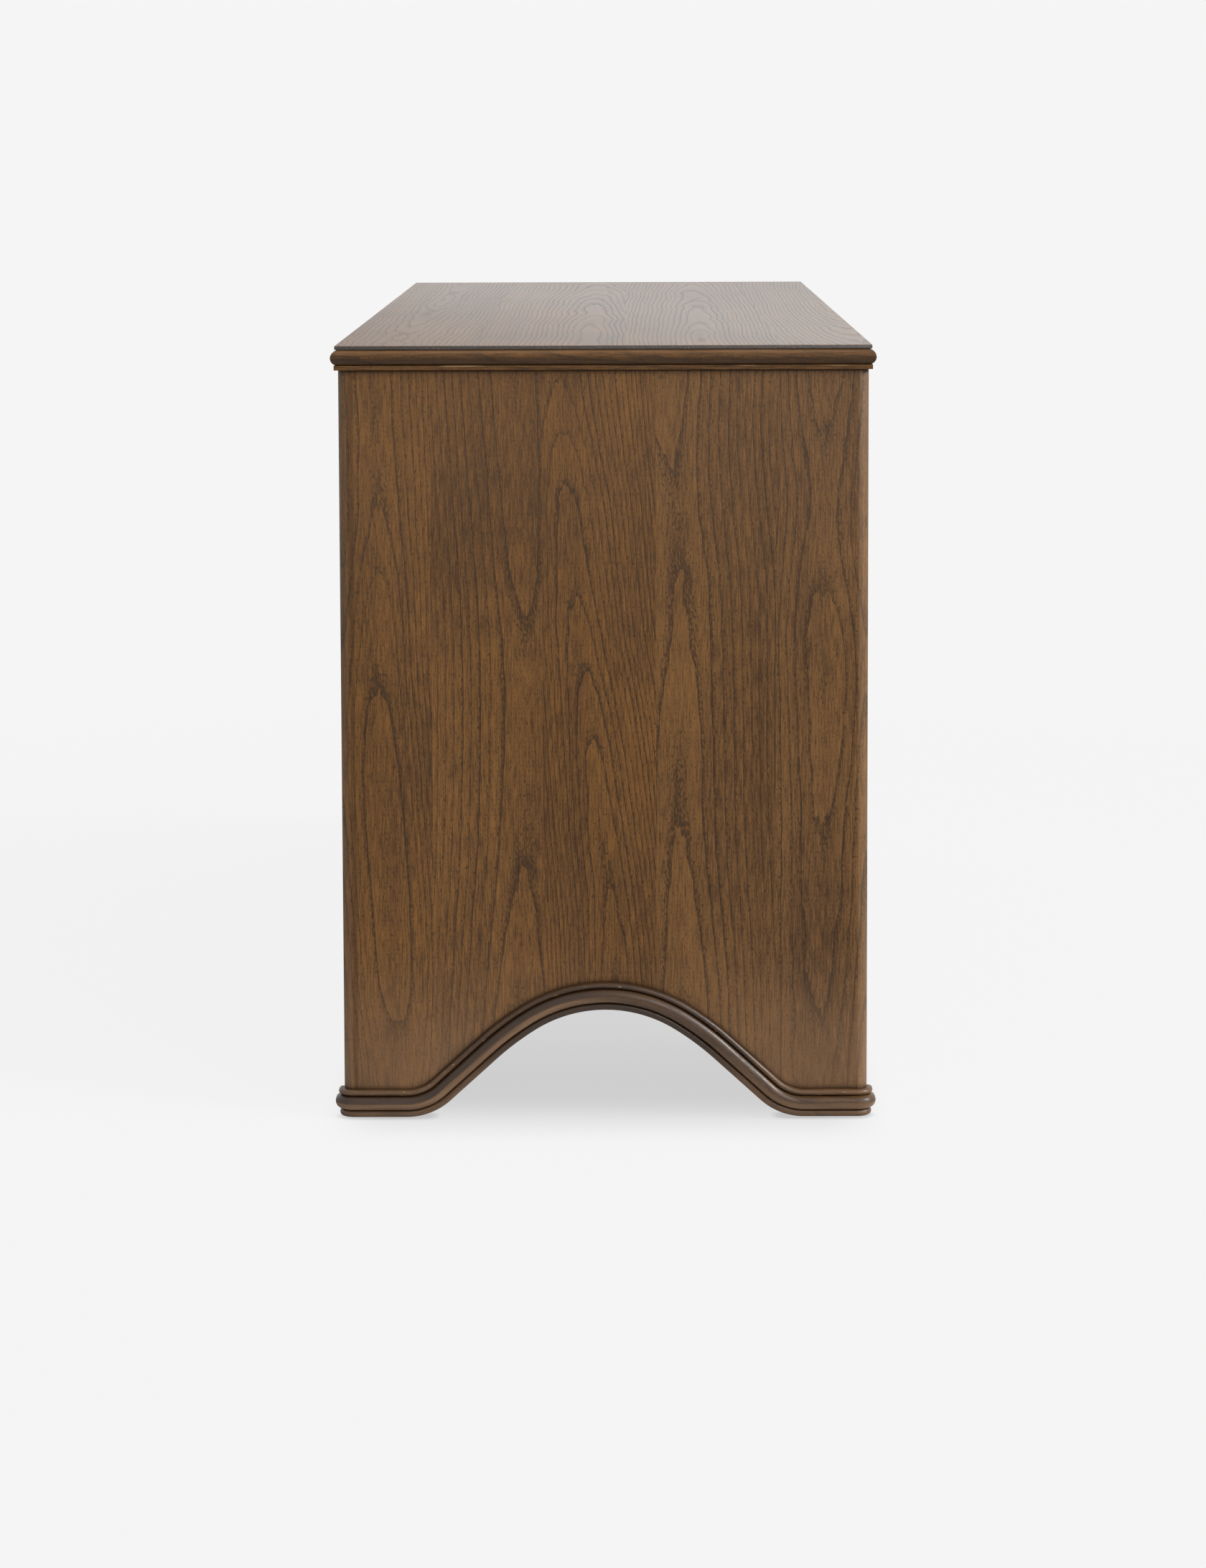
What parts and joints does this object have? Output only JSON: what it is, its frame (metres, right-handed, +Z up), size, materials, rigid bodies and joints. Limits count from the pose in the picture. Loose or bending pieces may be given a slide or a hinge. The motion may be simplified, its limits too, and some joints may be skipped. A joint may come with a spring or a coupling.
{
  "type": "dresser",
  "caption": "Low wide dresser in dark stained wood with arched ends, a beaded base moulding on the ends, a bead under the square-edged top and inset drawers with small round knobs.",
  "frame": {"origin": "on the floor under the middle of the case, at the underside of the centre leg's glide", "axes": "+X along the width to the right seen from the front, +Y to the back, +Z up; drawers open towards -Y"},
  "size_m": [1.524, 0.548, 0.762],
  "materials": {
    "panel_wood": "stained ash, satin lacquer",
    "top_wood": "stained ash, satin lacquer",
    "moulding_wood": "stained ash, satin lacquer",
    "front_wood": "stained ash, satin lacquer",
    "back_wood": "stained ash, matte",
    "inner_wood": "stained ash, matte",
    "box_wood": "clear lacquered hardwood",
    "slide_steel": "zinc plated",
    "knob_metal": "aged bronze",
    "glide_plastic": "matte"
  },
  "bodies": {
    "case": {"left_end_panel": "panel_wood", "right_end_panel": "panel_wood", "top_panel": "top_wood", "top_moulding": "moulding_wood", "left_base_moulding": "moulding_wood", "right_base_moulding": "moulding_wood", "front_apron": "front_wood", "back_apron": "back_wood", "back_panel": "back_wood", "bottom_panel": "inner_wood", "centre_divider": "front_wood", "top_rails": "front_wood", "drawer_blades": "front_wood", "support_blocks": "inner_wood", "floor_glides": "glide_plastic", "case_slide_members": "slide_steel"},
    "bottom_left_drawer": {"bottom_left_drawer_front": "front_wood", "bottom_left_drawer_sides": "box_wood", "bottom_left_drawer_ends": "box_wood", "bottom_left_drawer_bottom": "box_wood", "bottom_left_drawer_knob": "knob_metal", "bottom_left_drawer_slide_members": "slide_steel"},
    "bottom_left_middle": {"bottom_left_drawer_middle_members": "slide_steel"},
    "bottom_right_drawer": {"bottom_right_drawer_front": "front_wood", "bottom_right_drawer_sides": "box_wood", "bottom_right_drawer_ends": "box_wood", "bottom_right_drawer_bottom": "box_wood", "bottom_right_drawer_knob": "knob_metal", "bottom_right_drawer_slide_members": "slide_steel"},
    "bottom_right_middle": {"bottom_right_drawer_middle_members": "slide_steel"},
    "middle_left_drawer": {"middle_left_drawer_front": "front_wood", "middle_left_drawer_sides": "box_wood", "middle_left_drawer_ends": "box_wood", "middle_left_drawer_bottom": "box_wood", "middle_left_drawer_knob": "knob_metal", "middle_left_drawer_slide_members": "slide_steel"},
    "middle_left_middle": {"middle_left_drawer_middle_members": "slide_steel"},
    "middle_right_drawer": {"middle_right_drawer_front": "front_wood", "middle_right_drawer_sides": "box_wood", "middle_right_drawer_ends": "box_wood", "middle_right_drawer_bottom": "box_wood", "middle_right_drawer_knob": "knob_metal", "middle_right_drawer_slide_members": "slide_steel"},
    "middle_right_middle": {"middle_right_drawer_middle_members": "slide_steel"},
    "top_left_drawer": {"top_left_drawer_front": "front_wood", "top_left_drawer_sides": "box_wood", "top_left_drawer_ends": "box_wood", "top_left_drawer_bottom": "box_wood", "top_left_drawer_knob": "knob_metal", "top_left_drawer_slide_members": "slide_steel"},
    "top_left_middle": {"top_left_drawer_middle_members": "slide_steel"},
    "top_right_drawer": {"top_right_drawer_front": "front_wood", "top_right_drawer_sides": "box_wood", "top_right_drawer_ends": "box_wood", "top_right_drawer_bottom": "box_wood", "top_right_drawer_knob": "knob_metal", "top_right_drawer_slide_members": "slide_steel"},
    "top_right_middle": {"top_right_drawer_middle_members": "slide_steel"}
  },
  "joints": [
    {"name": "bottom_left_drawer_slide", "type": "slide", "parent": "case", "child": "bottom_left_drawer", "axis": [0, -1, 0], "range_m": [0, 0.43]},
    {"name": "bottom_left_middle_slide", "type": "slide", "parent": "case", "child": "bottom_left_middle", "axis": [0, -1, 0], "range_m": [0, 0.215]},
    {"name": "bottom_right_drawer_slide", "type": "slide", "parent": "case", "child": "bottom_right_drawer", "axis": [0, -1, 0], "range_m": [0, 0.43]},
    {"name": "bottom_right_middle_slide", "type": "slide", "parent": "case", "child": "bottom_right_middle", "axis": [0, -1, 0], "range_m": [0, 0.215]},
    {"name": "middle_left_drawer_slide", "type": "slide", "parent": "case", "child": "middle_left_drawer", "axis": [0, -1, 0], "range_m": [0, 0.43]},
    {"name": "middle_left_middle_slide", "type": "slide", "parent": "case", "child": "middle_left_middle", "axis": [0, -1, 0], "range_m": [0, 0.215]},
    {"name": "middle_right_drawer_slide", "type": "slide", "parent": "case", "child": "middle_right_drawer", "axis": [0, -1, 0], "range_m": [0, 0.43]},
    {"name": "middle_right_middle_slide", "type": "slide", "parent": "case", "child": "middle_right_middle", "axis": [0, -1, 0], "range_m": [0, 0.215]},
    {"name": "top_left_drawer_slide", "type": "slide", "parent": "case", "child": "top_left_drawer", "axis": [0, -1, 0], "range_m": [0, 0.43]},
    {"name": "top_left_middle_slide", "type": "slide", "parent": "case", "child": "top_left_middle", "axis": [0, -1, 0], "range_m": [0, 0.215]},
    {"name": "top_right_drawer_slide", "type": "slide", "parent": "case", "child": "top_right_drawer", "axis": [0, -1, 0], "range_m": [0, 0.43]},
    {"name": "top_right_middle_slide", "type": "slide", "parent": "case", "child": "top_right_middle", "axis": [0, -1, 0], "range_m": [0, 0.215]}
  ],
  "couplings": [
    {"joint": "bottom_left_middle_slide", "follows": "bottom_left_drawer_slide", "ratio": 0.5},
    {"joint": "bottom_right_middle_slide", "follows": "bottom_right_drawer_slide", "ratio": 0.5},
    {"joint": "middle_left_middle_slide", "follows": "middle_left_drawer_slide", "ratio": 0.5},
    {"joint": "middle_right_middle_slide", "follows": "middle_right_drawer_slide", "ratio": 0.5},
    {"joint": "top_left_middle_slide", "follows": "top_left_drawer_slide", "ratio": 0.5},
    {"joint": "top_right_middle_slide", "follows": "top_right_drawer_slide", "ratio": 0.5}
  ]
}
